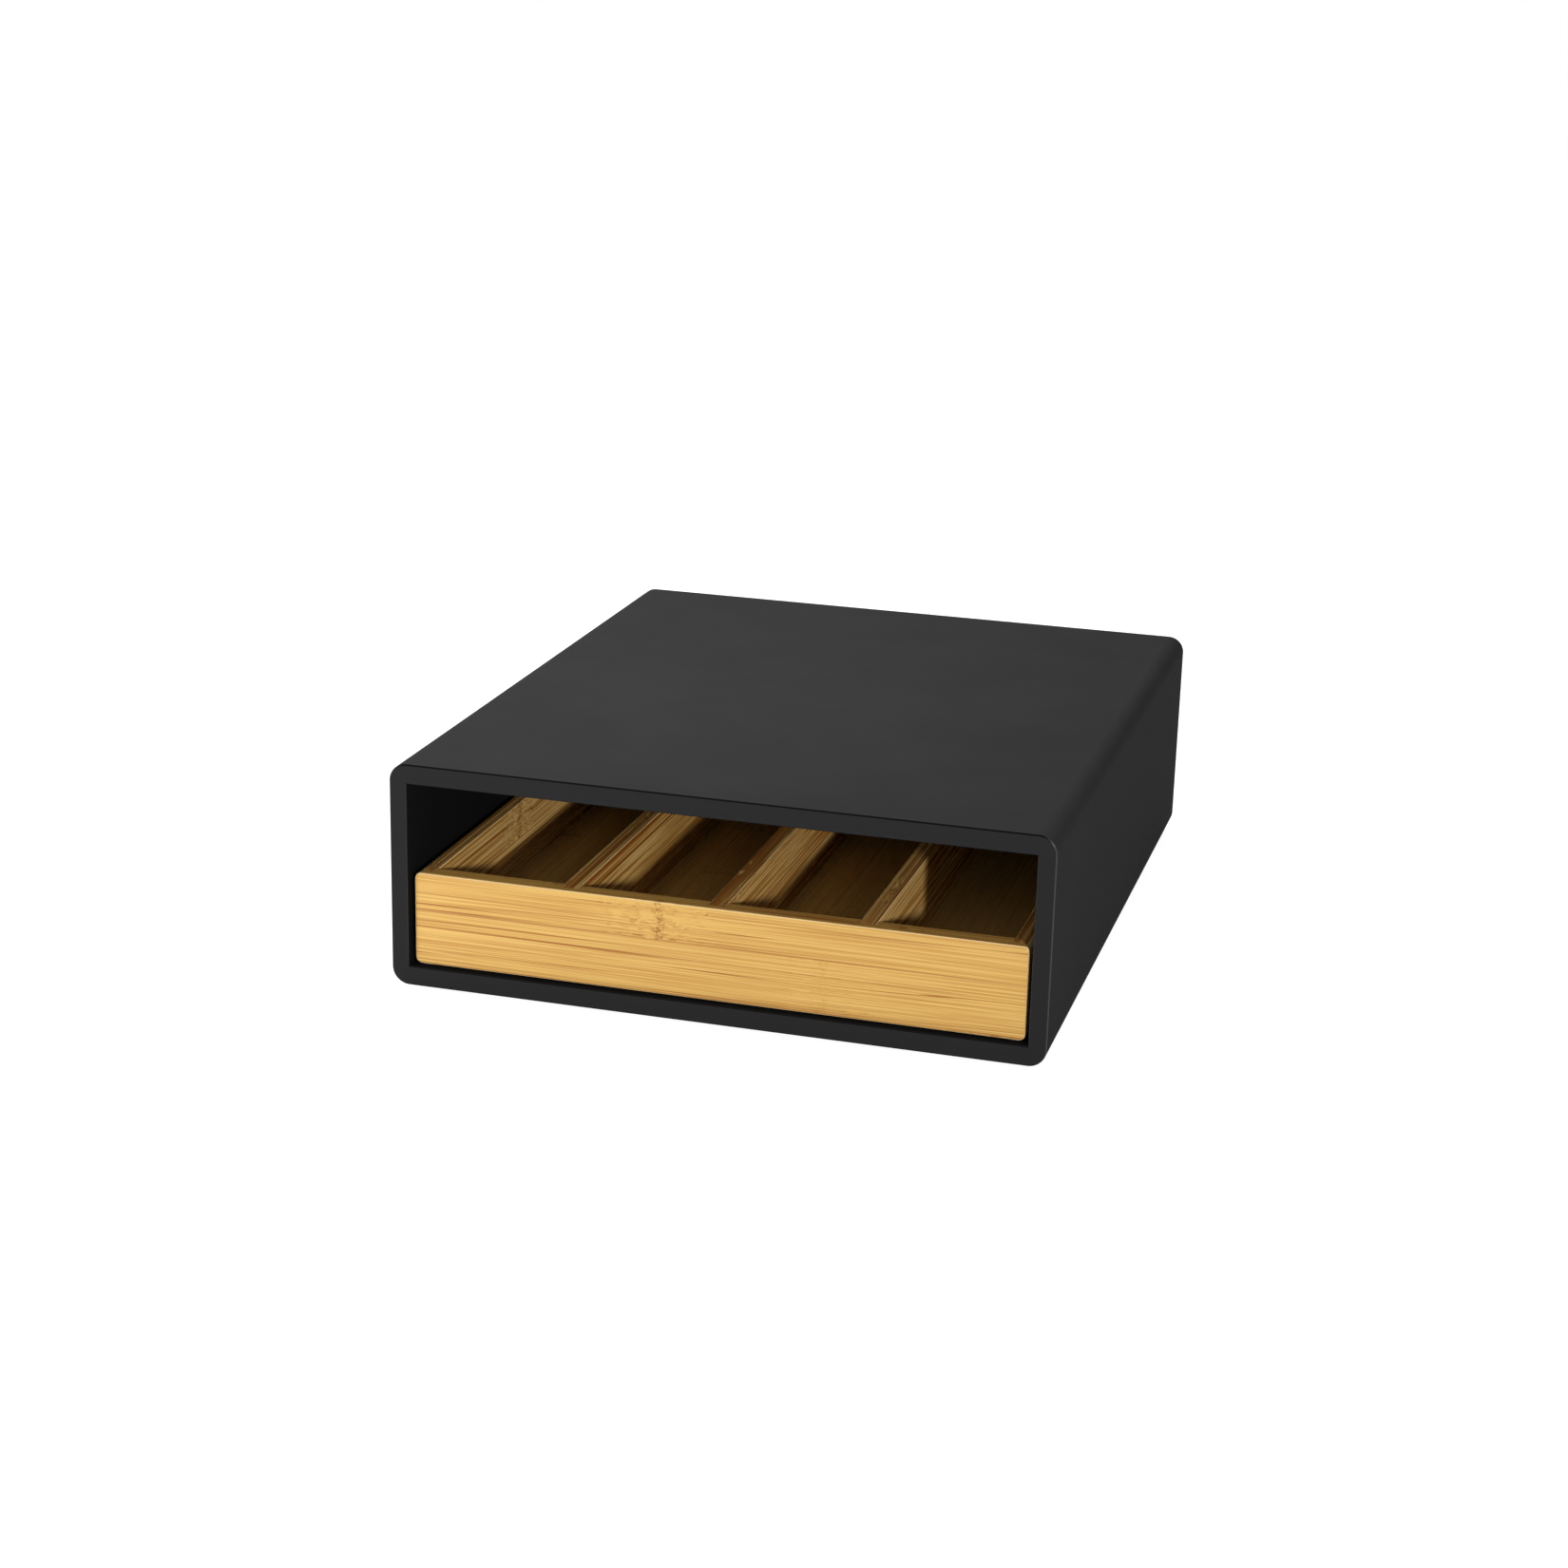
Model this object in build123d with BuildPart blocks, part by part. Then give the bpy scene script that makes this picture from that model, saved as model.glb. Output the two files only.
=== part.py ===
from build123d import *
import os

# A coffee capsule drawer: a low box of painted fibreboard, open at the front, with a bamboo
# drawer of long compartments that slides out of it. A coffee machine stands on the box.
# X is to the right, Y to the back and Z up, in millimetres. The origin is under the middle of
# the box, on the surface that its feet stand on.

# Box: outer size, and the boards that it is made of
case_width = 300.0
case_depth = 350.0
case_height = 104.0
case_board = 9.0  # top and bottom
case_side_board = 8.0
case_edge_radius = 8.0  # the four long outer edges
case_arris = 0.8  # rounded outer edge of the front, bevelled outer edge of the rear
mouth_arris = 0.4  # eased inner edge round the mouth
back_board = 6.0
back_rebate = 4.0  # how far the back panel is let into each board

# Dowels that hold the sides to the top and the bottom
dowel_diameter = 4.0
dowel_in_board = 4.6  # stands up into the top, or down into the bottom
dowel_in_side = 15.0
dowel_end_space = 0.4  # left for glue past each end
dowels_in_joint = 2
dowel_spacing = 210.0

# Feet: round stick-on pads
foot_height = 2.0
foot_diameter = 20.0
foot_inset = 22.0  # from the outer faces to the middle of the pad

# Drawer: clearances in the box, and the boards that it is made of
drawer_side_gap = 2.0
drawer_recess = 3.5  # from the front of the box to the front of the drawer
drawer_rear_gap = 0.3  # from the back of the drawer to the back panel, when it is shut
drawer_height = 43.0
end_board = 9.0  # front and back
side_board = 8.0
divider_board = 8.0
bottom_board = 4.0
drawer_edge_radius = 3.0  # corners of the front, and the long outer edges behind them
drawer_arris = 0.8  # round the face of the front, and of the back
rim_arris = 0.5  # inner edges of the ends, inner top edges of the sides, and both of each divider
compartments = 4

# Joints of the drawer
joint_depth = 5.0  # how far sides and dividers are let into the front and the back
groove_depth = 4.0
bottom_lift = 4.0  # from the lower edge of the drawer to the groove for its bottom
joint_clearance = 0.1
pin_diameter = 2.5
pin_length = 20.0
pin_spacing = 18.0
pins_in_corner = 2

# Glide strips, under the sides of the drawer
glide_height = 0.8
glide_width = 4.4
glide_edge_inset = 0.3  # from the rounded edge of the drawer to the strip
glide_end_inset = 2.0

# Planes and lines that the pieces share
front_y = -case_depth / 2
rear_y = case_depth / 2
case_base = foot_height
case_top = case_base + case_height
case_middle_z = (case_base + case_top) / 2
floor_z = case_base + case_board
ceiling_z = case_top - case_board
mouth_width = case_width - 2 * case_side_board
mouth_height = ceiling_z - floor_z
back_inner_y = rear_y - back_board
dowel_line = (case_width - case_side_board) / 2

drawer_width = mouth_width - 2 * drawer_side_gap
drawer_half = drawer_width / 2
drawer_front_y = front_y + drawer_recess
drawer_rear_y = back_inner_y - drawer_rear_gap
drawer_base = floor_z + glide_height
drawer_rim = drawer_base + drawer_height
drawer_middle_z = (drawer_base + drawer_rim) / 2
drawer_middle_y = (drawer_front_y + drawer_rear_y) / 2
inner_width = drawer_width - 2 * side_board
inner_length = drawer_rear_y - drawer_front_y - 2 * end_board
groove_base = drawer_base + bottom_lift
groove_height = bottom_board + joint_clearance
tray_floor = groove_base + groove_height
side_length = inner_length + 2 * joint_depth
divider_spacing = (inner_width + divider_board) / compartments
pin_middle_z = (tray_floor + drawer_rim) / 2
pin_line = end_board - joint_depth / 2  # from the outer face of the front or the back

os.makedirs("parts", exist_ok=True)


def save(piece, name):
    piece.part.label = name
    export_step(piece.part, f"parts/{name}.step")


# The box is glued up from square-edged boards, and its edges are rounded after that, so its
# boards are one ring here, which is shaped first and then parted at the joints.
with BuildPart() as ring:
    with BuildSketch(Plane.XZ.offset(rear_y)):
        with Locations((0, case_middle_z)):
            RectangleRounded(case_width, case_height, case_edge_radius)
            Rectangle(mouth_width, mouth_height, mode=Mode.SUBTRACT)
    extrude(amount=-case_depth)
    with BuildSketch(Plane.XZ.offset(front_y)):
        with Locations((0, case_middle_z)):
            Rectangle(mouth_width + 2 * back_rebate, mouth_height + 2 * back_rebate)
    extrude(amount=back_board, mode=Mode.SUBTRACT)
    fillet(ring.faces().sort_by(Axis.Y)[0].outer_wire().edges(), case_arris)
    chamfer(ring.faces().sort_by(Axis.Y)[-1].outer_wire().edges(), case_arris)
    fillet(ring.faces().sort_by(Axis.Y)[0].inner_wires()[0].edges(), mouth_arris)

# The top and the bottom run the full width and carry the rounded edges.
for name, joint_z, keep, outward in (
    ("top_panel", ceiling_z, Keep.TOP, 1),
    ("bottom_panel", floor_z, Keep.BOTTOM, -1),
):
    with BuildPart() as panel:
        add(ring.part)
        split(bisect_by=Plane.XY.offset(joint_z), keep=keep)
        with BuildSketch(Plane.XY.offset(joint_z)):
            with GridLocations(2 * dowel_line, dowel_spacing, 2, dowels_in_joint):
                Circle(dowel_diameter / 2 + joint_clearance / 2)
        extrude(amount=outward * (dowel_in_board + dowel_end_space), mode=Mode.SUBTRACT)
    save(panel, name)

# The sides stand between them, with dowel bores in both ends.
for name, keep, side in (
    ("left_side_panel", Keep.BOTTOM, -1),
    ("right_side_panel", Keep.TOP, 1),
):
    with BuildPart() as panel:
        add(ring.part)
        split(bisect_by=Plane.XY.offset(ceiling_z), keep=Keep.BOTTOM)
        split(bisect_by=Plane.XY.offset(floor_z), keep=Keep.TOP)
        split(bisect_by=Plane.YZ, keep=keep)
        for joint_z, inward in ((ceiling_z, -1), (floor_z, 1)):
            with BuildSketch(Plane.XY.offset(joint_z)):
                with Locations((side * dowel_line, 0)):
                    with GridLocations(case_side_board, dowel_spacing, 1, dowels_in_joint):
                        Circle(dowel_diameter / 2 + joint_clearance / 2)
            extrude(amount=inward * (dowel_in_side + dowel_end_space), mode=Mode.SUBTRACT)
    save(panel, name)

# One row of dowels for each of the four joints
for level, joint_z, outward in (("top", ceiling_z, 1), ("bottom", floor_z, -1)):
    for hand, side in (("left", -1), ("right", 1)):
        with BuildPart() as dowels:
            with BuildSketch(Plane.XY.offset(joint_z - outward * dowel_in_side)):
                with Locations((side * dowel_line, 0)):
                    with GridLocations(case_side_board, dowel_spacing, 1, dowels_in_joint):
                        Circle(dowel_diameter / 2)
            extrude(amount=outward * (dowel_in_side + dowel_in_board))
        save(dowels, f"dowels_{level}_{hand}")

# The back panel is let into a rebate, flush with the rear edges.
with BuildPart() as back_panel:
    with BuildSketch(Plane.XZ.offset(-back_inner_y)):
        with Locations((0, case_middle_z)):
            Rectangle(
                mouth_width + 2 * (back_rebate - joint_clearance),
                mouth_height + 2 * (back_rebate - joint_clearance),
            )
    extrude(amount=-back_board)
    chamfer(back_panel.faces().sort_by(Axis.Y)[-1].edges(), mouth_arris)
save(back_panel, "back_panel")

# Four round die-cut pads, stuck on under the corners
foot_x = case_width / 2 - foot_inset
foot_y = case_depth / 2 - foot_inset
for end, foot_row in (("front", -foot_y), ("back", foot_y)):
    for hand, side in (("left", -1), ("right", 1)):
        with BuildPart() as foot:
            with BuildSketch(Plane.XY):
                with Locations((side * foot_x, foot_row)):
                    Circle(foot_diameter / 2)
            extrude(amount=foot_height)
        save(foot, f"foot_{end}_{hand}")

# The front and the back of the drawer are alike: rounded corners, a rebate at each end for
# the side, housings for the dividers, a groove for the bottom, and blind bores for the pins.
for name, outer_y, inward in (
    ("drawer_front", drawer_front_y, 1),
    ("drawer_back", drawer_rear_y, -1),
):
    joint_y = outer_y + inward * (end_board - joint_depth / 2)
    groove_y = outer_y + inward * (end_board - groove_depth / 2)
    pin_y = outer_y + inward * pin_line
    inward_axis = Axis((0, 0, 0), (0, inward, 0))
    with BuildPart() as end:
        with BuildSketch(Plane.XZ.offset(-outer_y)):
            with Locations((0, drawer_middle_z)):
                RectangleRounded(drawer_width, drawer_height, drawer_edge_radius)
        extrude(amount=-inward * end_board)
        fillet(end.faces().sort_by(inward_axis)[0].edges(), drawer_arris)
        chamfer(end.faces().sort_by(inward_axis)[-1].edges(), rim_arris)
        with BuildSketch(Plane.XY.offset(drawer_base)):
            with Locations((0, joint_y)):
                with GridLocations(drawer_width - side_board, 1, 2, 1):
                    Rectangle(side_board, joint_depth)
        extrude(amount=drawer_height, mode=Mode.SUBTRACT)
        with BuildSketch(Plane.XY.offset(tray_floor)):
            with Locations((0, joint_y)):
                with GridLocations(divider_spacing, 1, compartments - 1, 1):
                    Rectangle(divider_board + 2 * joint_clearance, joint_depth)
        extrude(amount=drawer_rim - tray_floor, mode=Mode.SUBTRACT)
        with BuildSketch(Plane.XY.offset(groove_base)):
            with Locations((0, groove_y)):
                Rectangle(inner_width, groove_depth)
        extrude(amount=groove_height, mode=Mode.SUBTRACT)
        for side in (-1, 1):
            with BuildSketch(Plane.YZ.offset(side * inner_width / 2)):
                with Locations((pin_y, pin_middle_z)):
                    with GridLocations(1, pin_spacing, 1, pins_in_corner):
                        Circle(pin_diameter / 2 + joint_clearance / 2)
            extrude(amount=-side * (pin_length - side_board), mode=Mode.SUBTRACT)
    save(end, name)

# The sides, with the long outer edges rounded like the corners of the front
for hand, side in (("left", -1), ("right", 1)):
    side_axis = Axis((0, 0, 0), (side, 0, 0))
    with BuildPart() as board:
        with BuildSketch(Plane.XZ.offset(side_length / 2 - drawer_middle_y)) as profile:
            with Locations((side * (drawer_half - side_board / 2), drawer_middle_z)):
                Rectangle(side_board, drawer_height)
            fillet(profile.vertices().group_by(side_axis)[-1], drawer_edge_radius)
            fillet(profile.vertices().group_by(side_axis)[0].sort_by(Axis.Y)[-1], rim_arris)
            with Locations(
                (side * (inner_width + groove_depth) / 2, groove_base + groove_height / 2)
            ):
                Rectangle(groove_depth, groove_height, mode=Mode.SUBTRACT)
        extrude(amount=-side_length)
        for outer_y, inward in ((drawer_front_y, 1), (drawer_rear_y, -1)):
            with BuildSketch(Plane.YZ.offset(side * drawer_half)):
                with Locations((outer_y + inward * pin_line, pin_middle_z)):
                    with GridLocations(1, pin_spacing, 1, pins_in_corner):
                        Circle(pin_diameter / 2 + joint_clearance / 2)
            extrude(amount=-side * side_board, mode=Mode.SUBTRACT)
    save(board, f"drawer_{hand}_side")

# The bottom slides into the grooves, and the dividers stand on it.
bottom_margin = 2 * (groove_depth - joint_clearance)
with BuildPart() as drawer_bottom:
    with BuildSketch(Plane.XY.offset(groove_base)):
        with Locations((0, drawer_middle_y)):
            Rectangle(inner_width + bottom_margin, inner_length + bottom_margin)
    extrude(amount=bottom_board)
save(drawer_bottom, "drawer_bottom")

divider_length = side_length - 2 * joint_clearance
divider_height = drawer_rim - tray_floor
for number in range(1, compartments):
    divider_x = (number - compartments / 2) * divider_spacing
    with BuildPart() as divider:
        with BuildSketch(Plane.XZ.offset(divider_length / 2 - drawer_middle_y)) as profile:
            with Locations((divider_x, tray_floor + divider_height / 2)):
                Rectangle(divider_board, divider_height)
            fillet(profile.vertices().group_by(Axis.Y)[-1], rim_arris)
        extrude(amount=-divider_length)
    save(divider, f"divider_{number}")

# Bamboo pins through each side into the front or the back, cut flush outside
for end_name, outer_y, inward in (("front", drawer_front_y, 1), ("back", drawer_rear_y, -1)):
    for hand, side in (("left", -1), ("right", 1)):
        with BuildPart() as pins:
            with BuildSketch(Plane.YZ.offset(side * drawer_half)):
                with Locations((outer_y + inward * pin_line, pin_middle_z)):
                    with GridLocations(1, pin_spacing, 1, pins_in_corner):
                        Circle(pin_diameter / 2)
            extrude(amount=-side * (pin_length - joint_clearance))
        save(pins, f"corner_pins_{end_name}_{hand}")

# Glide strips on the flat of each side's lower edge, which the drawer slides on
glide_x = drawer_half - drawer_edge_radius - glide_edge_inset - glide_width / 2
glide_length = drawer_rear_y - drawer_front_y - 2 * glide_end_inset
for hand, side in (("left", -1), ("right", 1)):
    with BuildPart() as glide:
        with BuildSketch(Plane.XY.offset(floor_z)):
            with Locations((side * glide_x, drawer_middle_y)):
                Rectangle(glide_width, glide_length)
        extrude(amount=glide_height)
    save(glide, f"glide_{hand}")
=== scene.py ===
from math import radians

import bpy
from mathutils import Matrix, Vector


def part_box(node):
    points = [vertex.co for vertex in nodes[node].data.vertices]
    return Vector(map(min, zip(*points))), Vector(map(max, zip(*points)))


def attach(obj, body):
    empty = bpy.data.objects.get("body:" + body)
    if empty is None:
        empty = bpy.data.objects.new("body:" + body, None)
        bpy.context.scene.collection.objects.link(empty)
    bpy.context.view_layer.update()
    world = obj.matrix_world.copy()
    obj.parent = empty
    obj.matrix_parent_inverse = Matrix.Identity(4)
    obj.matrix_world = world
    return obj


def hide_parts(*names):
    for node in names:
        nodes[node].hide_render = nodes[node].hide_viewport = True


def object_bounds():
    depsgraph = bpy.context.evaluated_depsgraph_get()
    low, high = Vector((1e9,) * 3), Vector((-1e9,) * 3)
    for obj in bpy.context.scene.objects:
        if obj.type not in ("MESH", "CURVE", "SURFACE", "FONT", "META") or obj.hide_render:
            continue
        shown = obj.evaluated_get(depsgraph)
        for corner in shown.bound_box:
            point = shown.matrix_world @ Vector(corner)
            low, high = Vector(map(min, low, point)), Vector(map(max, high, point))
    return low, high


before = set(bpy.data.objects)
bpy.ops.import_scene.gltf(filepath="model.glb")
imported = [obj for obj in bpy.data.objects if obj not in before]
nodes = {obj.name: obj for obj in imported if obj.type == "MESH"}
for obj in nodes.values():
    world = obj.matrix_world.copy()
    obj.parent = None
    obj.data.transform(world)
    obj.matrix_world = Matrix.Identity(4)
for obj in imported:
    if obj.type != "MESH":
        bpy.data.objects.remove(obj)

cad_low, cad_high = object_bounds()

# The box: boards of medium-density fibreboard, glued edge to edge over dowels, rounded along the
# four long corners and sprayed as one shell. The lacquer is matt and dries a dusty black with a fine
# orange peel, and with the board's fibres on the cut edges. Its inner faces are drawn darker still,
# as painted shade inside the box.
LACQUER_BLACK = "#292929"
LACQUER_GREY = "#2b2b2b"
# painted shade: the inner faces of the box are drawn darker than its outside
INNER_PAINTED_SHADE = "#151515"
EDGE_BLACK_AND_SHADE = "#242425"  # cut edges drink more paint and dry a little greyer; drawn darker than the faces, which is partly painted shade
LACQUER_ROUGHNESS = (0.56, 0.64)
LACQUER_SPECULAR = 0.001  # a matt clear coat mirrors far less than a gloss one
# painted shade: the front arrises are drawn near black, standing in for the dark line they show at the
# top front
ARRIS_PAINTED_SHADE = "#0e0e0e"
ARRIS_LEAN = -0.58  # how far the normals of the front arrises look to the front, and their spread
ARRIS_SPREAD = 0.38
ARRIS_POLISH = 0.9  # hands have rubbed the upright front arrises to a shine
ARRIS_ROUGHNESS = 0.3
UPRIGHT_RANGE = (0.2, 0.5)  # how far a normal looks sideways, where the shine begins and is full
ORANGE_PEEL_MM = 1.1
LACQUER_RELIEF_MM = 0.15
EDGE_FIBRE_MM = 0.7  # real fibres are finer, and drawn this coarse to show
EDGE_FIBRE_SQUEEZE = 0.12  # of the pattern along the fibres, which run upright
EDGE_DEPTH_MM = 1.0  # how far back from the front the cut edge reaches
INNER_SHADE_MARGIN_MM = 0.2  # takes in the inner faces themselves
CLOUD_MM = 45.0  # where the spray went on a little wetter or drier
CLOUD_RANGE = (0.35, 0.65)  # noise values that give the darker and the greyer tone


def colour(hex_code):
    """An sRGB hex value as the linear colour that a socket takes."""
    parts = [int(hex_code[i : i + 2], 16) / 255 for i in (1, 3, 5)]
    linear = [p / 12.92 if p <= 0.04045 else ((p + 0.055) / 1.055) ** 2.4 for p in parts]
    return (*linear, 1.0)


def add(tree, kind, links=None, **settings):
    """Adds a node. links holds its inputs: each a value, a node or a node's output."""
    made = tree.nodes.new(kind)
    for name, value in settings.items():
        setattr(made, name, value)
    for name, value in (links or {}).items():
        if isinstance(value, bpy.types.Node):
            value = next(output for output in value.outputs if output.enabled)
        if isinstance(value, bpy.types.NodeSocket):
            tree.links.new(value, made.inputs[name])
        else:
            made.inputs[name].default_value = value
    return made


def span(side, pair):
    """The two inputs of a Map Range node on one side, From or To."""
    return {f"{side} Min": pair[0], f"{side} Max": pair[1]}


def finish(name, **sockets):
    """A new material and its shader, with these values on the shader's own sockets."""
    made = bpy.data.materials.new(name)
    made.use_nodes = True
    tree = made.node_tree
    tree.nodes.clear()
    settings = {key.replace("_", " "): value for key, value in sockets.items()}
    shader = add(tree, "ShaderNodeBsdfPrincipled", settings)
    add(tree, "ShaderNodeOutputMaterial", {"Surface": shader})
    return made, tree, shader


def dress(names, material):
    """Gives CAD pieces their material."""
    for name in names:
        for slot in nodes[name].material_slots:
            slot.material = material


lacquer, tree, shader = finish(
    "matt black lacquer on fibreboard",
    Specular_IOR_Level=LACQUER_SPECULAR,
    Coat_Roughness=ARRIS_ROUGHNESS,
)
seen = add(tree, "ShaderNodeTexCoord")
place = seen.outputs["Object"]
split = add(tree, "ShaderNodeSeparateXYZ", {0: place})
on_edge = add(
    tree,
    "ShaderNodeMath",
    {0: split.outputs["Y"], 1: cad_low.y + EDGE_DEPTH_MM / 1000},
    operation="LESS_THAN",
)
peel = add(tree, "ShaderNodeTexNoise", {"Vector": place, "Scale": 1000 / ORANGE_PEEL_MM, "Detail": 2.0})
upright = add(
    tree, "ShaderNodeMapping", {"Vector": place, "Scale": (1.0, 1.0, EDGE_FIBRE_SQUEEZE)}
)
fibre = add(
    tree, "ShaderNodeTexNoise", {"Vector": upright, "Scale": 1000 / EDGE_FIBRE_MM, "Detail": 4.0}
)
cloud = add(tree, "ShaderNodeTexNoise", {"Vector": place, "Scale": 1000 / CLOUD_MM, "Detail": 4.0})
cloudy = add(tree, "ShaderNodeMapRange", {"Value": cloud, **span("From", CLOUD_RANGE)})
tone = add(
    tree,
    "ShaderNodeMix",
    {"Factor": cloudy, "A": colour(LACQUER_BLACK), "B": colour(LACQUER_GREY)},
    data_type="RGBA",
)
inner_shade_margin = INNER_SHADE_MARGIN_MM / 1000
room_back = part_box("back_panel")[0].y
room = {
    "X": (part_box("left_side_panel")[1].x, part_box("right_side_panel")[0].x),
    "Z": (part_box("bottom_panel")[1].z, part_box("top_panel")[0].z),
}
# painted shade: a mask of the inner faces of the box, which are drawn darker
within = add(
    tree, "ShaderNodeMath", {0: split.outputs["Y"], 1: room_back + inner_shade_margin}, operation="LESS_THAN"
)
for axis, (low, high) in room.items():
    between = add(
        tree,
        "ShaderNodeMath",
        {0: split.outputs[axis], 1: (low + high) / 2, 2: (high - low) / 2 + inner_shade_margin},
        operation="COMPARE",
    )
    within = add(tree, "ShaderNodeMath", {0: within, 1: between}, operation="MULTIPLY")
turn = add(tree, "ShaderNodeSeparateXYZ", {0: seen.outputs["Normal"]})
arris = add(
    tree,
    "ShaderNodeMath",
    {0: turn.outputs["Y"], 1: ARRIS_LEAN, 2: ARRIS_SPREAD},
    operation="COMPARE",
)
# over the tone: painted shade on the inner faces, the cut edges' tone, painted shade on the front
# arrises
for mask, shade in ((within, INNER_PAINTED_SHADE), (on_edge, EDGE_BLACK_AND_SHADE), (arris, ARRIS_PAINTED_SHADE)):
    tone = add(
        tree,
        "ShaderNodeMix",
        {"Factor": mask, "A": tone.outputs["Result"], "B": colour(shade)},
        data_type="RGBA",
    )
tree.links.new(tone.outputs["Result"], shader.inputs["Base Color"])
upright = add(tree, "ShaderNodeMath", {0: turn.outputs["X"]}, operation="ABSOLUTE")
upright = add(tree, "ShaderNodeMapRange", {"Value": upright, **span("From", UPRIGHT_RANGE)})
polish = add(tree, "ShaderNodeMath", {0: arris, 1: upright}, operation="MULTIPLY")
polish = add(tree, "ShaderNodeMath", {0: polish, 1: ARRIS_POLISH}, operation="MULTIPLY")
tree.links.new(polish.outputs[0], shader.inputs["Coat Weight"])
rough = add(tree, "ShaderNodeMapRange", {"Value": cloud, **span("To", LACQUER_ROUGHNESS)})
tree.links.new(rough.outputs[0], shader.inputs["Roughness"])
relief = add(tree, "ShaderNodeMix", {"Factor": on_edge, "A": peel, "B": fibre})
bump = add(
    tree,
    "ShaderNodeBump",
    {"Strength": 0.25, "Distance": LACQUER_RELIEF_MM / 1000, "Height": relief},
)
tree.links.new(bump.outputs[0], shader.inputs["Normal"])
dress(("top_panel", "bottom_panel", "left_side_panel", "right_side_panel", "back_panel"), lacquer)

# Eight beech dowels hold the sides between the top and the bottom. Such dowels are turned from a
# dried rod, bevelled at both ends and pressed with straight flutes, which let the glue spread.
DOWEL_ROWS = ("dowels_top_left", "dowels_top_right", "dowels_bottom_left", "dowels_bottom_right")
DOWEL_FLUTES = 16
FLUTE_STEPS = 4  # corners of the rim in each flute
FLUTE_DEPTH_MM = 0.12
DOWEL_BEVEL_MM = 0.9
DOWEL_TIP = 0.72  # share of its thickness that a dowel keeps at the end of the bevel
DOWEL_RINGS = 45
BEECH_PALE = "#d9b48c"
BEECH_BROWN = "#b98a5e"
BEECH_FLECK = "#8f6038"
BEECH_GRAIN_MM = 0.5
BEECH_GRAIN_SQUEEZE = 0.06  # of the pattern along the dowel
BEECH_FLECK_MM = 1.2
BEECH_FLECK_SQUEEZE = 0.25
BEECH_FLECK_RANGE = (0.1, 0.2)  # share of their spacing, at a fleck's core and where it ends
BEECH_FLECK_SHARE = 0.7
BEECH_RELIEF_MM = 0.05

# Pale pinkish brown, close-grained, with the short dark flecks that tell beech from other woods.
beech, tree, shader = finish("turned beech", Roughness=0.6, IOR=1.5, Specular_IOR_Level=0.4)
place = add(tree, "ShaderNodeTexCoord").outputs["Object"]
drawn_out = add(
    tree, "ShaderNodeMapping", {"Vector": place, "Scale": (1.0, 1.0, BEECH_GRAIN_SQUEEZE)}
)
grain = add(
    tree, "ShaderNodeTexNoise", {"Vector": drawn_out, "Scale": 1000 / BEECH_GRAIN_MM, "Detail": 3.0}
)
short = add(
    tree, "ShaderNodeMapping", {"Vector": place, "Scale": (1.0, 1.0, BEECH_FLECK_SQUEEZE)}
)
fleck = add(
    tree, "ShaderNodeTexVoronoi", {"Vector": short, "Scale": 1000 / BEECH_FLECK_MM}, feature="F1"
)
fleck = add(
    tree,
    "ShaderNodeMapRange",
    {
        "Value": fleck,
        **span("From", BEECH_FLECK_RANGE),
        **span("To", (BEECH_FLECK_SHARE, 0.0)),
    },
)
tone = add(
    tree,
    "ShaderNodeMix",
    {"Factor": grain, "A": colour(BEECH_PALE), "B": colour(BEECH_BROWN)},
    data_type="RGBA",
)
tone = add(
    tree,
    "ShaderNodeMix",
    {"Factor": fleck, "A": tone.outputs["Result"], "B": colour(BEECH_FLECK)},
    data_type="RGBA",
)
tree.links.new(tone.outputs["Result"], shader.inputs["Base Color"])
bump = add(
    tree, "ShaderNodeBump", {"Strength": 0.3, "Distance": BEECH_RELIEF_MM / 1000, "Height": grain}
)
tree.links.new(bump.outputs[0], shader.inputs["Normal"])


def node_tree(name, sizes):
    """An empty Geometry Nodes tree, its input and output nodes, and the identifier of each size."""
    tree = bpy.data.node_groups.new(name, "GeometryNodeTree")
    tree.interface.new_socket("Geometry", in_out="INPUT", socket_type="NodeSocketGeometry")
    tree.interface.new_socket("Geometry", in_out="OUTPUT", socket_type="NodeSocketGeometry")
    known = {}
    for size, value in sizes.items():
        kind = "NodeSocketInt" if isinstance(value, int) else "NodeSocketFloat"
        known[size] = tree.interface.new_socket(size, in_out="INPUT", socket_type=kind).identifier
    return tree, add(tree, "NodeGroupInput"), add(tree, "NodeGroupOutput"), known


def grow(name, points, tree, known, sizes):
    """Runs a Geometry Nodes tree on these points and keeps its result as a plain mesh piece."""
    seeds = bpy.data.meshes.new(name)
    seeds.from_pydata(points, [], [])
    piece = bpy.data.objects.new(name, seeds)
    bpy.context.scene.collection.objects.link(piece)
    modifier = piece.modifiers.new("made by", "NODES")
    modifier.node_group = tree
    for size, value in sizes.items():
        modifier[known[size]] = value
    evaluated = piece.evaluated_get(bpy.context.evaluated_depsgraph_get())
    made = bpy.data.meshes.new_from_object(evaluated)
    piece.modifiers.remove(modifier)
    piece.data = made
    return piece


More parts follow.
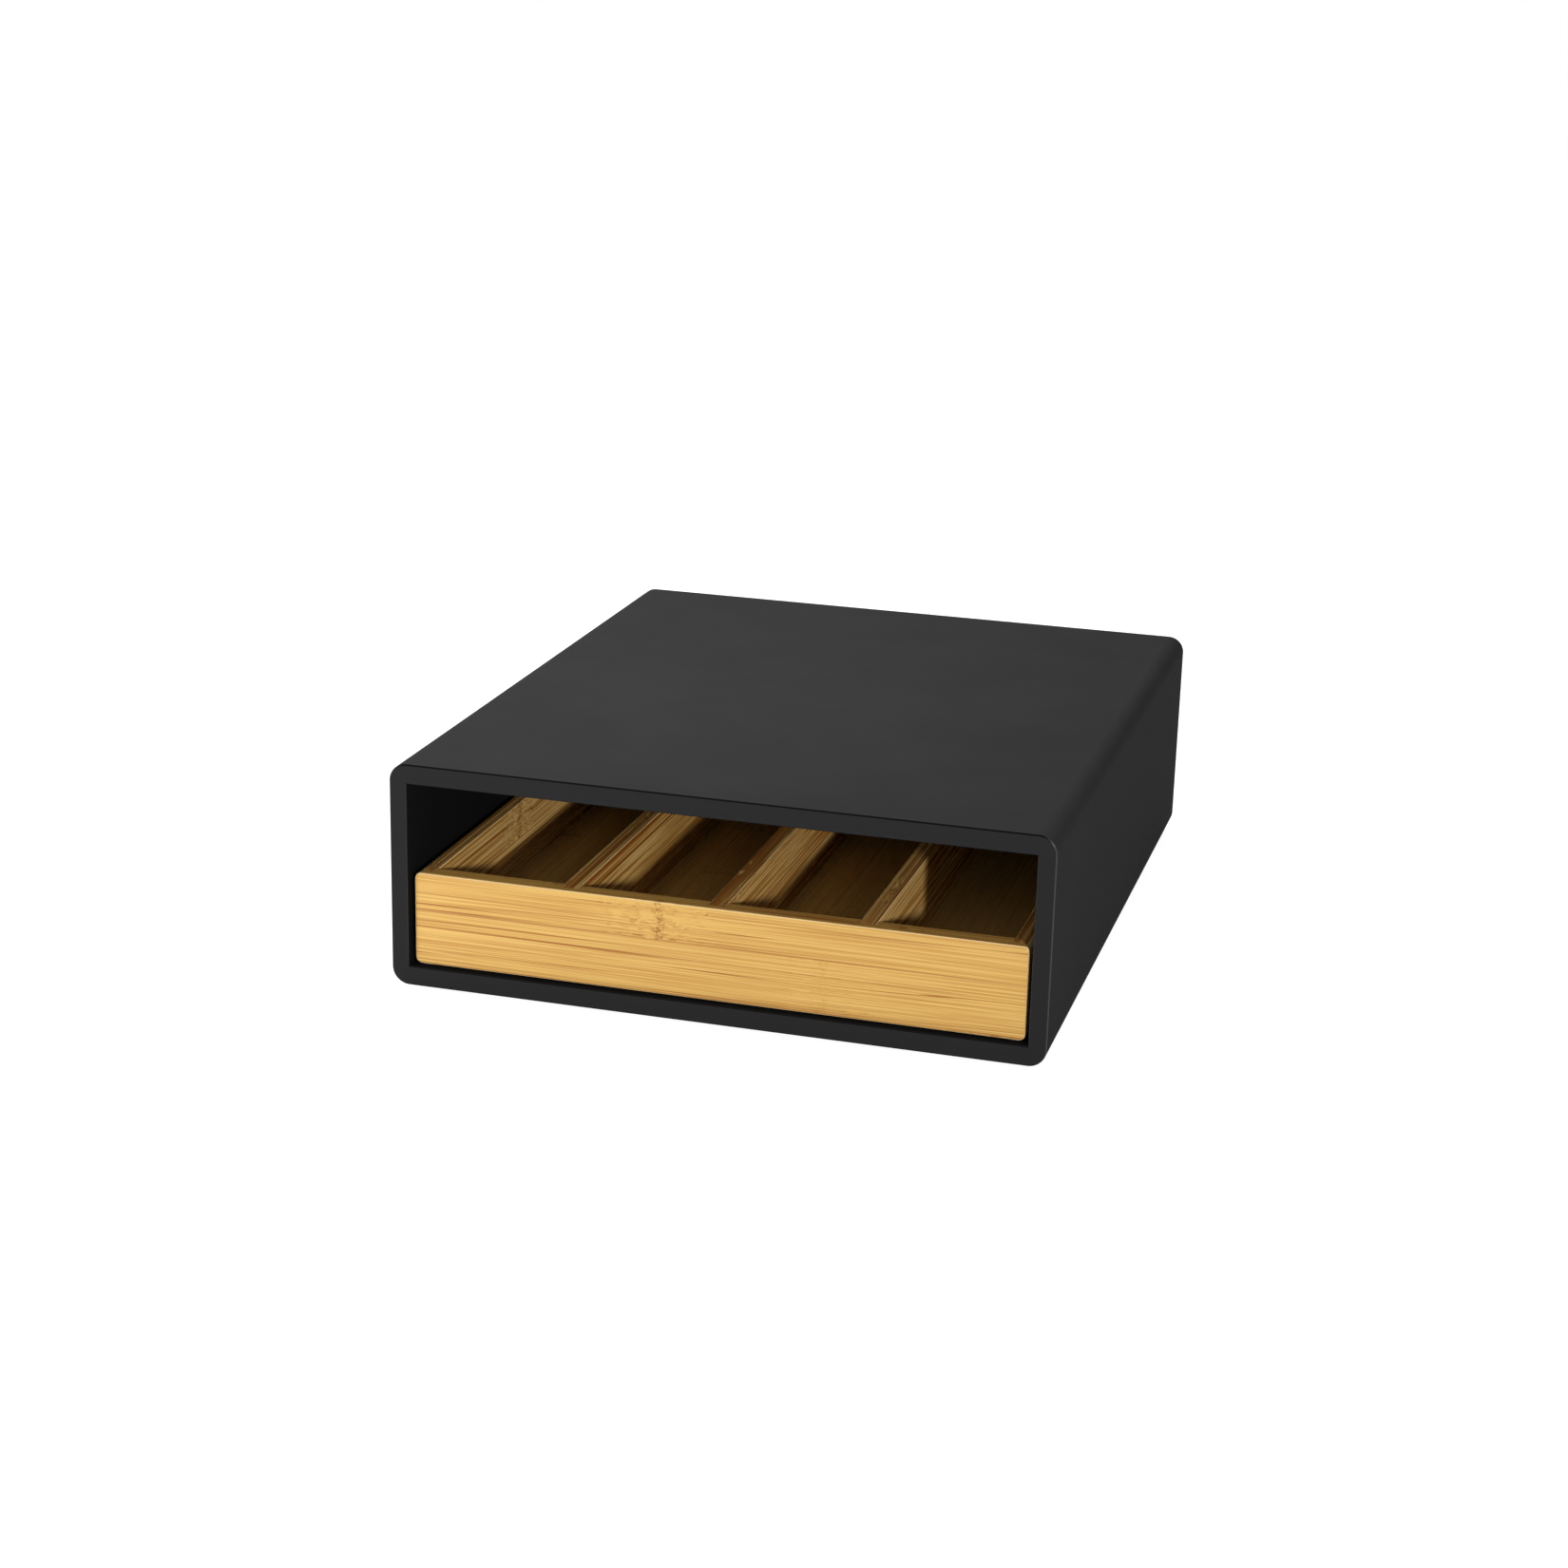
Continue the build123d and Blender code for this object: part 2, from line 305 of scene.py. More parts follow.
low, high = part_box(DOWEL_ROWS[0])
dowel_width = high.x - low.x
sizes = {
    "Diameter": dowel_width,
    "Length": high.z - low.z,
    "Flute depth": FLUTE_DEPTH_MM / 1000,
    "Bevel": DOWEL_BEVEL_MM / 1000,
    "Flutes": DOWEL_FLUTES,
}
tree, given, result, known = node_tree("fluted dowels", sizes)
half_length = add(tree, "ShaderNodeMath", {0: given.outputs["Length"], 1: 0.5}, operation="MULTIPLY")
foot_end = add(tree, "ShaderNodeMath", {0: half_length, 1: -1.0}, operation="MULTIPLY")
axis = add(
    tree,
    "GeometryNodeCurvePrimitiveLine",
    {
        "Start": add(tree, "ShaderNodeCombineXYZ", {"Z": foot_end}),
        "End": add(tree, "ShaderNodeCombineXYZ", {"Z": half_length}),
    },
)
axis = add(tree, "GeometryNodeResampleCurve", {"Curve": axis, "Count": DOWEL_RINGS})
height = add(tree, "ShaderNodeSeparateXYZ", {0: add(tree, "GeometryNodeInputPosition")}).outputs["Z"]
from_middle = add(tree, "ShaderNodeMath", {0: height}, operation="ABSOLUTE")
bevel_start = add(
    tree, "ShaderNodeMath", {0: half_length, 1: given.outputs["Bevel"]}, operation="SUBTRACT"
)
slim = add(
    tree,
    "ShaderNodeMapRange",
    {
        "Value": from_middle,
        "From Min": bevel_start,
        "From Max": half_length,
        **span("To", (1.0, DOWEL_TIP)),
    },
)
axis = add(tree, "GeometryNodeSetCurveRadius", {"Curve": axis, "Radius": slim})
steps = add(
    tree, "ShaderNodeMath", {0: given.outputs["Flutes"], 1: FLUTE_STEPS}, operation="MULTIPLY"
)
radius = add(tree, "ShaderNodeMath", {0: given.outputs["Diameter"], 1: 0.5}, operation="MULTIPLY")
rim = add(tree, "GeometryNodeCurvePrimitiveCircle", {"Resolution": steps, "Radius": radius})
number = add(tree, "GeometryNodeInputIndex")
wave = add(tree, "ShaderNodeMath", {0: number, 1: radians(360 / FLUTE_STEPS)}, operation="MULTIPLY")
wave = add(tree, "ShaderNodeMath", {0: wave}, operation="COSINE")
wave = add(tree, "ShaderNodeMath", {0: wave, 1: -0.5, 2: 0.5}, operation="MULTIPLY_ADD")
cut_in = add(
    tree, "ShaderNodeMath", {0: wave, 1: given.outputs["Flute depth"]}, operation="MULTIPLY"
)
share = add(tree, "ShaderNodeMath", {0: cut_in, 1: radius}, operation="DIVIDE")
share = add(tree, "ShaderNodeMath", {0: 1.0, 1: share}, operation="SUBTRACT")
fluted = add(
    tree,
    "ShaderNodeVectorMath",
    {0: add(tree, "GeometryNodeInputPosition"), "Scale": share},
    operation="SCALE",
)
rim = add(tree, "GeometryNodeSetPosition", {"Geometry": rim, "Position": fluted})
dowel = add(
    tree,
    "GeometryNodeCurveToMesh",
    {"Curve": axis, "Profile Curve": rim, "Fill Caps": True},
)
copies = add(
    tree, "GeometryNodeInstanceOnPoints", {"Points": given.outputs["Geometry"], "Instance": dowel}
)
whole = add(tree, "GeometryNodeRealizeInstances", {"Geometry": copies})
whole = add(tree, "GeometryNodeSetMaterial", {"Geometry": whole, "Material": beech})
tree.links.new(whole.outputs[0], result.inputs[0])

places = []
for row in DOWEL_ROWS:
    low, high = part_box(row)
    middle = (low + high) / 2
    places += [(middle.x, y, middle.z) for y in (low.y + dowel_width / 2, high.y - dowel_width / 2)]
dowels = grow("fluted_dowels", places, tree, known, sizes)
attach(dowels, "housing")
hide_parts(*DOWEL_ROWS)

# Four round stick-on pads under the box keep it from slipping and let air under it. They are
# die-cut from closed-cell foam, whose skin gives a little at the lower edge and shows fine pores.
FEET = ("foot_front_left", "foot_front_right", "foot_back_left", "foot_back_right")
PAD_EDGE_MM = 0.7
PAD_BLACK = "#202022"
PAD_GREY = "#3a3a3d"
PORE_MM = 0.5  # real pores are half as wide, and drawn this coarse to show
PORE_DEPTH_MM = 0.1
PORE_RANGE = (0.15, 0.45)  # share of their spacing, at a pore's core and where it ends
PAD_BLOOM_MM = 6.0

# Dull charcoal with a dusty bloom, broken by small dark pits.
foam, tree, shader = finish("closed-cell foam pad", Roughness=0.9, Specular_IOR_Level=0.25)
place = add(tree, "ShaderNodeTexCoord").outputs["Object"]
pore = add(tree, "ShaderNodeTexVoronoi", {"Vector": place, "Scale": 1000 / PORE_MM}, feature="F1")
pit = add(tree, "ShaderNodeMapRange", {"Value": pore, **span("From", PORE_RANGE)})
bloom = add(tree, "ShaderNodeTexNoise", {"Vector": place, "Scale": 1000 / PAD_BLOOM_MM, "Detail": 3.0})
bloom = add(tree, "ShaderNodeMath", {0: bloom, 1: pit}, operation="MULTIPLY")
tone = add(
    tree,
    "ShaderNodeMix",
    {"Factor": bloom, "A": colour(PAD_BLACK), "B": colour(PAD_GREY)},
    data_type="RGBA",
)
tree.links.new(tone.outputs["Result"], shader.inputs["Base Color"])
bump = add(
    tree, "ShaderNodeBump", {"Strength": 0.4, "Distance": PORE_DEPTH_MM / 1000, "Height": pit}
)
tree.links.new(bump.outputs[0], shader.inputs["Normal"])

low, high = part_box(FEET[0])
sizes = {"Diameter": high.x - low.x, "Thickness": high.z - low.z, "Edge": PAD_EDGE_MM / 1000}
tree, given, result, known = node_tree("stick-on pads", sizes)
radius = add(tree, "ShaderNodeMath", {0: given.outputs["Diameter"], 1: 0.5}, operation="MULTIPLY")
disc = add(
    tree,
    "GeometryNodeMeshCylinder",
    {
        "Vertices": 64,
        "Side Segments": 12,
        "Fill Segments": 6,
        "Radius": radius,
        "Depth": given.outputs["Thickness"],
    },
)
here = add(tree, "GeometryNodeInputPosition")
height = add(tree, "ShaderNodeSeparateXYZ", {0: here}).outputs["Z"]
sole = add(tree, "ShaderNodeMath", {0: given.outputs["Thickness"], 1: -0.5}, operation="MULTIPLY")
edge_top = add(tree, "ShaderNodeMath", {0: sole, 1: given.outputs["Edge"]}, operation="ADD")
down = add(tree, "ShaderNodeMapRange", {"Value": height, "From Min": edge_top, "From Max": sole})
down = add(tree, "ShaderNodeMath", {0: down, 1: down}, operation="MULTIPLY")
arc = add(tree, "ShaderNodeMath", {0: 1.0, 1: down}, operation="SUBTRACT")
arc = add(tree, "ShaderNodeMath", {0: arc}, operation="SQRT")
inward = add(tree, "ShaderNodeMath", {0: 1.0, 1: arc}, operation="SUBTRACT")
inward = add(tree, "ShaderNodeMath", {0: inward, 1: given.outputs["Edge"]}, operation="MULTIPLY")
inward = add(tree, "ShaderNodeMath", {0: inward, 1: radius}, operation="DIVIDE")
share = add(tree, "ShaderNodeMath", {0: 1.0, 1: inward}, operation="SUBTRACT")
squeezed = add(
    tree,
    "ShaderNodeVectorMath",
    {0: here, 1: add(tree, "ShaderNodeCombineXYZ", {"X": share, "Y": share, "Z": 1.0})},
    operation="MULTIPLY",
)
disc = add(tree, "GeometryNodeSetPosition", {"Geometry": disc, "Position": squeezed})
copies = add(
    tree, "GeometryNodeInstanceOnPoints", {"Points": given.outputs["Geometry"], "Instance": disc}
)
whole = add(tree, "GeometryNodeRealizeInstances", {"Geometry": copies})
whole = add(tree, "GeometryNodeSetMaterial", {"Geometry": whole, "Material": foam})
tree.links.new(whole.outputs[0], result.inputs[0])

pads = grow(
    "stick_on_pads", [sum(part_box(foot), Vector()) / 2 for foot in FEET], tree, known, sizes
)
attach(pads, "housing")
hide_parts(*FEET)

# The drawer: boards of solid bamboo, each glued up from strips split out of the cane and laid flat
# in three layers, planed, sanded and given a clear satin lacquer. The strips run with the board and
# show the cane's fibres as brown lines, its knuckles as narrow mottled bands, and dots where cut.
STRIP_MM = 24.5
LAYER_MM = 3.4
JOINT_MM = 17.6  # from the upper edge of a board down to the joint between its strips
STRIP_SHIFT_MM = 900  # each strip shows another part of the pattern, up to this far away
GLUE_MM = (0.12, 0.42)  # half the width of a joint's dark line, at its core and where it ends
LAYER_GLUE_MM = (0.05, 0.3)
KNUCKLE_MM = 270.0  # between the knuckles of a strip
KNUCKLE_REACH_MM = (2.0, 34.0)  # how far from it the fibres swerve in full, and a little
SWERVE = 2.2
SWERVE_SCALE = (0.22, 0.3, 0.3)  # patterns a millimetre: along, across and through the board
WANDER = 2.0  # the fibres also wander a little everywhere
WANDER_SCALE = (0.004, 0.03, 0.03)
WEAK_KNUCKLE = 0.2  # how much the knuckles of every second strip show beside the others
RING_MM = (0.8, 3.0)  # half the width of a knuckle's speckled line, at its core and where it ends
RING_WAVER_MM = 5.0
RING_WAVER_SCALE = (0.02, 0.35, 0.35)
MOTTLE_SCALE = (0.8, 1.1, 1.1)
SPECK_RANGE = (0.48, 0.57)
STAGGER_MM = 75.0  # how far the knuckles of one strip lie from those of the next
LAYER_STAGGER_MM = 110.0
BUNDLE_MM = 1.15  # spacing of the cane's fibre bundles
BUNDLE_LENGTH_MM = 1500.0
BUNDLE_RANGE = (0.09, 0.2)  # share of their spacing, at a bundle's core and where it ends
THREAD_MM = 3.2  # about twice the spacing of the dark threads between the fibres
THREAD_LENGTH_MM = 800.0
THREAD_WIDTH = 0.018
THREAD_CORE = 1.4  # over 1, so that a thread is at its darkest for part of its width
FINE_FIBRE_MM = 0.5  # the real ones lie about 0.3 mm apart, drawn this coarse to show
FINE_LENGTH_MM = 130.0
FINE_RANGE = (0.44, 0.58)
BAND_MM = 5.0
BAND_LENGTH_MM = 240.0
FADE_MM = 2.2  # where the dark lines grow faint
FADE_LENGTH_MM = 190.0
FADE_RANGE = (0.3, 0.54)
DASH_MM = 1.6  # beside a knuckle they break up into dashes
DASH_LENGTH_MM = 7.0
DASH_RANGE = (0.44, 0.6)
FIBRE_RELIEF_MM = 0.08
BAMBOO_PALE = "#c7a25b"
BAMBOO_WARM = "#bd9549"
STRIP_LEAN = 0.6  # how far the tone leans from pale to warm by the strip, and by broad bands
BAND_LEAN = 0.9
LEAN_START = 0.25
BAMBOO_PAINTED_LIFT = "#e2bb76"  # painted light: the boards inside the drawer are drawn paler than the front
BAMBOO_ROUGHNESS = (0.42, 0.55)  # on clear wood, and on the dark lines
FINE_LINE = "#9a6620"
FINE_SHARE = 0.6
BUNDLE_BROWN = "#864c10"
GLUE_LINE = "#8c5626"
GLUE_SHARE = 0.9
KNUCKLE_BROWN = "#85561f"
END_GRAIN = "#9c6c33"
END_SHARE = 0.6
EDGE_BROWN = "#96703f"  # the fibres lie densest along the narrow edges
EDGE_SHARE = 0.12
ARRIS_PALE_AND_HIGHLIGHT = "#efd9a8"  # partly sanded through to the paler wood, partly a painted highlight along the arrises
ARRIS_HIGHLIGHT_SHARE = 0.5
ARRIS_SLOPE = (0.84, 0.96)  # the largest part of a normal: below the first is arris, above it flat
EDGE_STRENGTH = 0.7  # how much darker the lines are along the narrow edges
FACING_RANGE = (0.6, 0.95)  # how squarely a face looks to the end or the edge, to take on its tone

strips = bpy.data.node_groups.new("glued bamboo strips", "ShaderNodeTree")
strips.interface.new_socket("Place", in_out="INPUT", socket_type="NodeSocketVector")
for name in ("Board", "Face", "Knuckle", "Strength", "Painted lift"):
    strips.interface.new_socket(name, in_out="INPUT", socket_type="NodeSocketFloat")
for name, kind in (("Color", "NodeSocketColor"), ("Relief", "NodeSocketFloat")):
    strips.interface.new_socket(name, in_out="OUTPUT", socket_type=kind)
given = add(strips, "NodeGroupInput")
split = add(strips, "ShaderNodeSeparateXYZ", {0: given.outputs["Place"]})
along, across, through = split.outputs

# which strip this is, and the numbers that make it differ from its neighbours
strip = add(strips, "ShaderNodeMath", {0: across, 1: STRIP_MM}, operation="DIVIDE")
strip = add(strips, "ShaderNodeMath", {0: strip}, operation="FLOOR")
layer = add(strips, "ShaderNodeMath", {0: through, 1: LAYER_MM}, operation="DIVIDE")
layer = add(strips, "ShaderNodeMath", {0: layer}, operation="ROUND")
cell = add(strips, "ShaderNodeCombineXYZ", {0: strip, 1: layer, 2: given.outputs["Board"]})
chance = add(strips, "ShaderNodeTexWhiteNoise", {"Vector": cell}, noise_dimensions="3D")
shift = add(
    strips,
    "ShaderNodeVectorMath",
    {0: chance.outputs["Color"], "Scale": STRIP_SHIFT_MM},
    operation="SCALE",
)

# how far this spot lies from the strip's nearest knuckle, along the grain
centre = add(
    strips,
    "ShaderNodeMath",
    {0: strip, 1: -STAGGER_MM, 2: given.outputs["Knuckle"]},
    operation="MULTIPLY_ADD",
)
below = add(strips, "ShaderNodeMath", {0: layer, 1: given.outputs["Face"]}, operation="SUBTRACT")
centre = add(
    strips, "ShaderNodeMath", {0: below, 1: LAYER_STAGGER_MM, 2: centre}, operation="MULTIPLY_ADD"
)
away = add(strips, "ShaderNodeMath", {0: along, 1: centre}, operation="SUBTRACT")
away = add(
    strips, "ShaderNodeMath", {0: away, 1: -KNUCKLE_MM / 2, 2: KNUCKLE_MM / 2}, operation="WRAP"
)
beside = add(strips, "ShaderNodeMath", {0: away}, operation="ABSOLUTE")
near = add(
    strips,
    "ShaderNodeMapRange",
    {"Value": beside, **span("From", KNUCKLE_REACH_MM), **span("To", (1.0, 0.0))},
    interpolation_type="SMOOTHSTEP",
)
odd = add(strips, "ShaderNodeMath", {0: strip, 1: 2.0, 2: 0.0}, operation="WRAP")
marked = add(
    strips, "ShaderNodeMath", {0: odd, 1: WEAK_KNUCKLE - 1.0, 2: 1.0}, operation="MULTIPLY_ADD"
)
near = add(strips, "ShaderNodeMath", {0: near, 1: marked}, operation="MULTIPLY")

# fibres swerve where they pass a knuckle
moved = add(strips, "ShaderNodeVectorMath", {0: given.outputs["Place"], 1: shift}, operation="ADD")
swerve_place = add(strips, "ShaderNodeMapping", {"Vector": moved, "Scale": SWERVE_SCALE})
swerve = add(strips, "ShaderNodeTexNoise", {"Vector": swerve_place, "Scale": 1.0, "Detail": 1.0})
swerve = add(strips, "ShaderNodeMath", {0: swerve, 1: 0.5}, operation="SUBTRACT")
swerve = add(strips, "ShaderNodeMath", {0: swerve, 1: near}, operation="MULTIPLY")
swerve = add(strips, "ShaderNodeMath", {0: swerve, 1: SWERVE}, operation="MULTIPLY")
wander_place = add(strips, "ShaderNodeMapping", {"Vector": moved, "Scale": WANDER_SCALE})
wander = add(strips, "ShaderNodeTexNoise", {"Vector": wander_place, "Scale": 1.0, "Detail": 0.0})
wander = add(strips, "ShaderNodeMath", {0: wander, 1: WANDER, 2: swerve}, operation="MULTIPLY_ADD")
bent = add(strips, "ShaderNodeCombineXYZ", {0: 0.0, 1: wander, 2: wander})
bent = add(strips, "ShaderNodeVectorMath", {0: moved, 1: bent}, operation="ADD")

# broad bands, fine fibres, and the brown bundles among them
band_place = add(
    strips,
    "ShaderNodeMapping",
    {"Vector": bent, "Scale": (1 / BAND_LENGTH_MM, 1 / BAND_MM, 1 / BAND_MM)},
)
band = add(strips, "ShaderNodeTexNoise", {"Vector": band_place, "Scale": 1.0, "Detail": 2.0})
fine_place = add(
    strips,
    "ShaderNodeMapping",
    {"Vector": bent, "Scale": (1 / FINE_LENGTH_MM, 1 / FINE_FIBRE_MM, 1 / FINE_FIBRE_MM)},
)
fine = add(
    strips, "ShaderNodeTexNoise", {"Vector": fine_place, "Scale": 1.0, "Detail": 2.0, "Roughness": 0.6}
)
fine = add(strips, "ShaderNodeMapRange", {"Value": fine, **span("From", FINE_RANGE)})
bundle_place = add(
    strips,
    "ShaderNodeMapping",
    {"Vector": bent, "Scale": (1 / BUNDLE_LENGTH_MM, 1 / BUNDLE_MM, 1 / BUNDLE_MM)},
)
bundle = add(strips, "ShaderNodeTexVoronoi", {"Vector": bundle_place, "Scale": 1.0}, feature="F1")
bundle_line = add(
    strips,
    "ShaderNodeMapRange",
    {
        "Value": bundle.outputs["Distance"],
        **span("From", BUNDLE_RANGE),
        **span("To", (1.0, 0.0)),
    },
    interpolation_type="SMOOTHSTEP",
)
thread_place = add(
    strips,
    "ShaderNodeMapping",
    {"Vector": bent, "Scale": (1 / THREAD_LENGTH_MM, 1 / THREAD_MM, 1 / THREAD_MM)},
)
thread = add(strips, "ShaderNodeTexNoise", {"Vector": thread_place, "Scale": 1.0, "Detail": 1.0})
thread = add(strips, "ShaderNodeMath", {0: thread, 1: 0.5}, operation="SUBTRACT")
thread = add(strips, "ShaderNodeMath", {0: thread}, operation="ABSOLUTE")
width = add(
    strips, "ShaderNodeMath", {0: given.outputs["Strength"], 1: THREAD_WIDTH}, operation="MULTIPLY"
)
thread = add(
    strips,
    "ShaderNodeMapRange",
    {"Value": thread, "From Max": width, **span("To", (THREAD_CORE, 0.0))},
)
thread = add(strips, "ShaderNodeMath", {0: thread, 1: 1.0}, operation="MINIMUM")
bundle_line = add(strips, "ShaderNodeMath", {0: bundle_line, 1: thread}, operation="MAXIMUM")
fade_place = add(
    strips,
    "ShaderNodeMapping",
    {"Vector": bent, "Scale": (1 / FADE_LENGTH_MM, 1 / FADE_MM, 1 / FADE_MM)},
)
fade = add(strips, "ShaderNodeTexNoise", {"Vector": fade_place, "Scale": 1.0, "Detail": 1.0})
fade = add(strips, "ShaderNodeMapRange", {"Value": fade, **span("From", FADE_RANGE)})
dash_place = add(
    strips,
    "ShaderNodeMapping",
    {"Vector": bent, "Scale": (1 / DASH_LENGTH_MM, 1 / DASH_MM, 1 / DASH_MM)},
)
dash = add(strips, "ShaderNodeTexNoise", {"Vector": dash_place, "Scale": 1.0, "Detail": 1.0})
dash = add(strips, "ShaderNodeMapRange", {"Value": dash, **span("From", DASH_RANGE)})
fade = add(strips, "ShaderNodeMix", {"Factor": near, "A": fade, "B": dash})
bundle_line = add(strips, "ShaderNodeMath", {0: bundle_line, 1: fade}, operation="MULTIPLY")

# the joint between two strips, with its dark line of glue
half_strip = STRIP_MM / 2
to_joint = add(strips, "ShaderNodeMath", {0: across, 1: -half_strip, 2: half_strip}, operation="WRAP")
to_joint = add(strips, "ShaderNodeMath", {0: to_joint}, operation="ABSOLUTE")
glue = add(
    strips,
    "ShaderNodeMapRange",
    {"Value": to_joint, **span("From", GLUE_MM), **span("To", (1.0, 0.0))},
)
layer_middle = add(strips, "ShaderNodeMath", {0: layer, 1: LAYER_MM}, operation="MULTIPLY")
to_layer = add(strips, "ShaderNodeMath", {0: through, 1: layer_middle}, operation="SUBTRACT")
to_layer = add(strips, "ShaderNodeMath", {0: to_layer}, operation="ABSOLUTE")
core, end = (LAYER_MM / 2 - width for width in LAYER_GLUE_MM)
layer_glue = add(strips, "ShaderNodeMapRange", {"Value": to_layer, **span("From", (end, core))})
glue = add(strips, "ShaderNodeMath", {0: glue, 1: layer_glue}, operation="MAXIMUM")
glue = add(strips, "ShaderNodeMath", {0: glue, 1: fade}, operation="MULTIPLY")

# the knuckle: a narrow wandering line of dark specks, mottled to both sides
mottle_place = add(strips, "ShaderNodeMapping", {"Vector": moved, "Scale": MOTTLE_SCALE})
mottle = add(strips, "ShaderNodeTexNoise", {"Vector": mottle_place, "Scale": 1.0, "Detail": 2.0})
waver = add(strips, "ShaderNodeMapping", {"Vector": moved, "Scale": RING_WAVER_SCALE})
waver = add(strips, "ShaderNodeTexNoise", {"Vector": waver, "Scale": 1.0, "Detail": 1.0})
waver = add(strips, "ShaderNodeMath", {0: waver, 1: 0.5}, operation="SUBTRACT")
ring = add(strips, "ShaderNodeMath", {0: waver, 1: RING_WAVER_MM, 2: away}, operation="MULTIPLY_ADD")
ring = add(strips, "ShaderNodeMath", {0: ring}, operation="ABSOLUTE")
ring = add(
    strips,
    "ShaderNodeMapRange",
    {"Value": ring, **span("From", RING_MM), **span("To", (1.0, 0.0))},
)
speck = add(strips, "ShaderNodeMapRange", {"Value": mottle, **span("From", SPECK_RANGE)})
speck = add(strips, "ShaderNodeMath", {0: speck, 1: ring}, operation="MULTIPLY")
speck = add(strips, "ShaderNodeMath", {0: speck, 1: marked}, operation="MULTIPLY")

# colours, one over the other
lean = add(
    strips, "ShaderNodeMath", {0: chance.outputs["Value"], 1: STRIP_LEAN}, operation="MULTIPLY"
)
lean = add(strips, "ShaderNodeMath", {0: band, 1: BAND_LEAN, 2: lean}, operation="MULTIPLY_ADD")
lean = add(strips, "ShaderNodeMath", {0: lean, 1: LEAN_START}, operation="SUBTRACT")
tone = add(
    strips,
    "ShaderNodeMix",
    {"Factor": lean, "A": colour(BAMBOO_PALE), "B": colour(BAMBOO_WARM)},
    data_type="RGBA",
)
# painted light: the strips of the inner boards are drawn paler
tone = add(
    strips,
    "ShaderNodeMix",
    {"Factor": given.outputs["Painted lift"], "A": tone.outputs["Result"], "B": colour(BAMBOO_PAINTED_LIFT)},
    data_type="RGBA",
)
for mask, share, shade in (
    (fine, FINE_SHARE, FINE_LINE),
    (bundle_line, 1.0, BUNDLE_BROWN),
    (glue, GLUE_SHARE, GLUE_LINE),
    (speck, 1.0, KNUCKLE_BROWN),
):
    share = add(strips, "ShaderNodeMath", {0: mask, 1: share}, operation="MULTIPLY")
    share = add(
        strips, "ShaderNodeMath", {0: share, 1: given.outputs["Strength"]}, operation="MULTIPLY"
    )
    tone = add(
        strips,
        "ShaderNodeMix",
        {"Factor": share, "A": tone.outputs["Result"], "B": colour(shade)},
        data_type="RGBA",
    )
relief = add(strips, "ShaderNodeMath", {0: fine, 1: bundle_line}, operation="ADD")
relief = add(strips, "ShaderNodeMath", {0: relief, 1: speck}, operation="ADD")
add(strips, "NodeGroupOutput", {"Color": tone.outputs["Result"], "Relief": relief})


